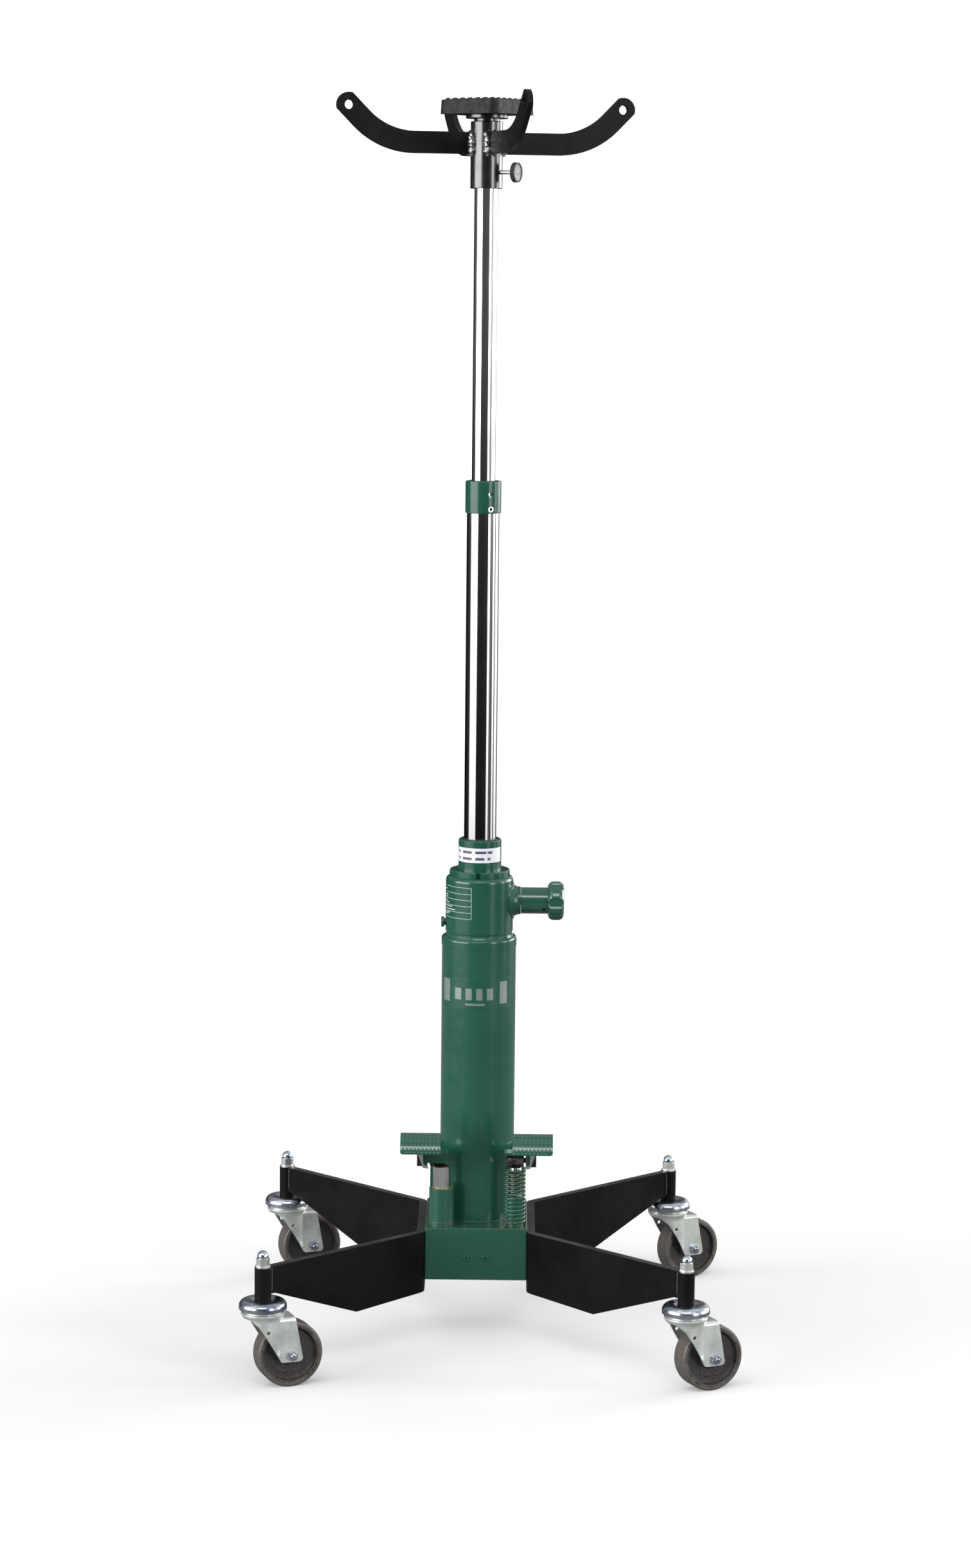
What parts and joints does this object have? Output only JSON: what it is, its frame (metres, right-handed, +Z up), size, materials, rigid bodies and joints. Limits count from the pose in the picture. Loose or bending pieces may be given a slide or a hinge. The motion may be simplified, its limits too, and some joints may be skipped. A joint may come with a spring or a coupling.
{
  "type": "lab jack",
  "caption": "Two-stage hydraulic column jack on swivel casters, with foot pumps, a release handwheel, cradle arms and a ribbed saddle pad.",
  "frame": {"origin": "on the floor plane, under the axis of the telescopic column, which is also the middle of the four caster stems", "axes": "+Z up along the column, +X to the release handwheel's side, -Y towards the operator's pedals"},
  "size_m": [0.7519, 0.722, 1.9165],
  "materials": {
    "green_paint": "satin-gloss dark bluish green paint with light orange peel",
    "black_paint": "satin black powder coat",
    "gloss_black": "semi-gloss black paint over welded steel",
    "chrome": "polished hard chrome",
    "zinc": "bright zinc plate",
    "steel": "plain machined steel",
    "cast_wheel": "cast iron, tread worn lighter",
    "pad_rubber": "black moulded rubber",
    "seal_rubber": "black seal rubber",
    "spring_steel": "green over-sprayed spring wire"
  },
  "bodies": {
    "base": {"base_block": "green_paint", "block_plugs": "green_paint", "leg_left": "black_paint", "leg_right": "black_paint", "leg_bolts": "zinc", "caster_sockets": "black_paint", "caster_stems": "zinc", "caster_cups": "zinc", "caster_cap_nuts": "zinc", "reservoir_tube": "green_paint", "inner_cylinder": "green_paint", "reservoir_head": "green_paint", "gland_nut": "green_paint", "lower_wiper": "seal_rubber", "filler_plug": "green_paint", "pump_cylinders": "green_paint", "lever_brackets": "green_paint", "lever_pins": "steel"},
    "lower_stage": {"lower_ram": "chrome", "lower_piston": "steel", "ram_collar": "green_paint", "collar_screw": "steel", "upper_wiper": "seal_rubber"},
    "upper_stage": {"upper_ram": "chrome"},
    "head": {"head_tube": "gloss_black", "arm_right": "gloss_black", "arm_rear": "gloss_black", "arm_left": "gloss_black", "arm_front": "gloss_black"},
    "clamp_screw": {"thumb_screw": "zinc", "thumb_knob": "zinc"},
    "saddle": {"saddle_post": "zinc", "saddle_pad": "pad_rubber"},
    "release_valve": {"release_sleeve": "green_paint", "release_knob": "green_paint"},
    "treadle_left": {"lever_left": "green_paint", "pedal_left": "green_paint", "roller_left": "steel", "stop_left": "pad_rubber"},
    "treadle_right": {"lever_right": "green_paint", "pedal_right": "green_paint", "roller_right": "steel", "stop_right": "pad_rubber"},
    "plunger_left": {"piston_left": "chrome"},
    "plunger_right": {"piston_right": "chrome", "spring_cap": "green_paint", "return_spring": "spring_steel"},
    "caster_front_left": {"fork_front_left": "zinc", "axle_front_left": "zinc"},
    "roller_wheel_front_left": {"wheel_front_left": "cast_wheel"},
    "caster_front_right": {"fork_front_right": "zinc", "axle_front_right": "zinc"},
    "roller_wheel_front_right": {"wheel_front_right": "cast_wheel"},
    "caster_rear_left": {"fork_rear_left": "zinc", "axle_rear_left": "zinc"},
    "roller_wheel_rear_left": {"wheel_rear_left": "cast_wheel"},
    "caster_rear_right": {"fork_rear_right": "zinc", "axle_rear_right": "zinc"},
    "roller_wheel_rear_right": {"wheel_rear_right": "cast_wheel"}
  },
  "joints": [
    {"name": "lower_lift", "type": "slide", "parent": "base", "child": "lower_stage", "axis": [0, 0, 1], "range_m": [-0.5, 0]},
    {"name": "upper_lift", "type": "slide", "parent": "lower_stage", "child": "upper_stage", "axis": [0, 0, 1], "range_m": [-0.435, 0]},
    {"name": "head_swivel", "type": "hinge", "parent": "upper_stage", "child": "head", "pos_m": [0, 0, 1.82], "axis": [0, 0, 1], "continuous": true},
    {"name": "clamp_turn", "type": "hinge", "parent": "head", "child": "clamp_screw", "pos_m": [0, 0, 1.801], "axis": [0.891, -0.454, 0], "range_deg": [0, 360]},
    {"name": "saddle_swivel", "type": "hinge", "parent": "head", "child": "saddle", "pos_m": [0, 0, 1.86], "axis": [0, 0, 1], "continuous": true},
    {"name": "release_turn", "type": "hinge", "parent": "base", "child": "release_valve", "pos_m": [0.05, 0, 0.6865], "axis": [1, 0, 0], "range_deg": [0, 180]},
    {"name": "pedal_left_press", "type": "hinge", "parent": "base", "child": "treadle_left", "pos_m": [-0.079, 0.042, 0.2905], "axis": [1, 0, 0], "range_deg": [0, 15], "stiffness_Nm_per_rad": 3, "springref_deg": -28.65},
    {"name": "pedal_right_press", "type": "hinge", "parent": "base", "child": "treadle_right", "pos_m": [0.079, 0.042, 0.2905], "axis": [1, 0, 0], "range_deg": [0, 15], "stiffness_Nm_per_rad": 3, "springref_deg": -28.65},
    {"name": "plunger_left_stroke", "type": "slide", "parent": "base", "child": "plunger_left", "axis": [0, 0, 1], "range_m": [-0.0305, 0]},
    {"name": "plunger_right_stroke", "type": "slide", "parent": "base", "child": "plunger_right", "axis": [0, 0, 1], "range_m": [-0.0305, 0], "deforming": ["return_spring"]},
    {"name": "swivel_front_left", "type": "hinge", "parent": "base", "child": "caster_front_left", "pos_m": [-0.315, -0.315, 0.11], "axis": [0, 0, 1], "continuous": true},
    {"name": "roll_front_left", "type": "hinge", "parent": "caster_front_left", "child": "roller_wheel_front_left", "pos_m": [-0.27859, -0.30102, 0.05], "axis": [0.3584, -0.9336, 0], "continuous": true},
    {"name": "swivel_front_right", "type": "hinge", "parent": "base", "child": "caster_front_right", "pos_m": [0.315, -0.315, 0.11], "axis": [0, 0, 1], "continuous": true},
    {"name": "roll_front_right", "type": "hinge", "parent": "caster_front_right", "child": "roller_wheel_front_right", "pos_m": [0.35005, -0.2979, 0.05], "axis": [0.4384, -0.8988, 0], "continuous": true},
    {"name": "swivel_rear_left", "type": "hinge", "parent": "base", "child": "caster_rear_left", "pos_m": [-0.315, 0.315, 0.11], "axis": [0, 0, 1], "continuous": true},
    {"name": "roll_rear_left", "type": "hinge", "parent": "caster_rear_left", "child": "roller_wheel_rear_left", "pos_m": [-0.2791, 0.33024, 0.05], "axis": [0.3907, -0.9205, 0], "continuous": true},
    {"name": "swivel_rear_right", "type": "hinge", "parent": "base", "child": "caster_rear_right", "pos_m": [0.315, 0.315, 0.11], "axis": [0, 0, 1], "continuous": true},
    {"name": "roll_rear_right", "type": "hinge", "parent": "caster_rear_right", "child": "roller_wheel_rear_right", "pos_m": [0.34911, 0.33391, 0.05], "axis": [0.4848, -0.8746, 0], "continuous": true}
  ],
  "couplings": [
    {"joint": "plunger_left_stroke", "follows": "pedal_left_press", "m_per_rad": -0.112},
    {"joint": "plunger_right_stroke", "follows": "pedal_right_press", "m_per_rad": -0.112}
  ]
}
